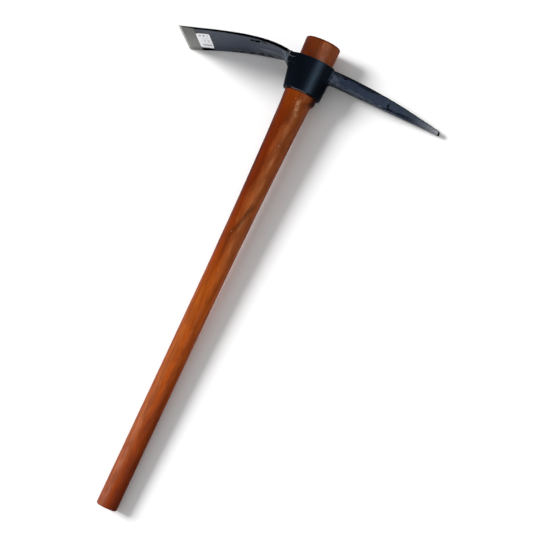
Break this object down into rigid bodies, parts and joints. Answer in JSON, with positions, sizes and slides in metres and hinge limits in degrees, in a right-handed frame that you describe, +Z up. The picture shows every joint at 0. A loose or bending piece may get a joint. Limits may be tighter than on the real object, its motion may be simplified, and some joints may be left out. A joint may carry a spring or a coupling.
{
  "type": "pickaxe",
  "caption": "Grubbing pickaxe: a forged steel head with a wide curved adze and a tapered pick, on a flared wooden handle that drops through its oval eye.",
  "frame": {"origin": "centre of the bounding box on the ground, with the tool lying on the butt's rim, the adze's lower corner and the pick's tip", "axes": "+Y along the handle from the butt to the crown, +X toward the pick, -X toward the adze, +Z up from the ground"},
  "size_m": [0.4948, 0.9004, 0.1257],
  "materials": {
    "painted_steel": "blue-black satin paint over forged steel, bare ground steel at the adze's bevel",
    "varnished_wood": "red-brown stain under satin varnish",
    "label_paper": "white coated paper"
  },
  "bodies": {
    "head": {"pick_head": "painted_steel", "label": "label_paper"},
    "handle": {"handle": "varnished_wood"}
  },
  "joints": [
    {"name": "handle_draw", "type": "slide", "parent": "head", "child": "handle", "axis": [0.0014, 0.9997, 0.0244], "range_m": [0, 0.88]}
  ]
}
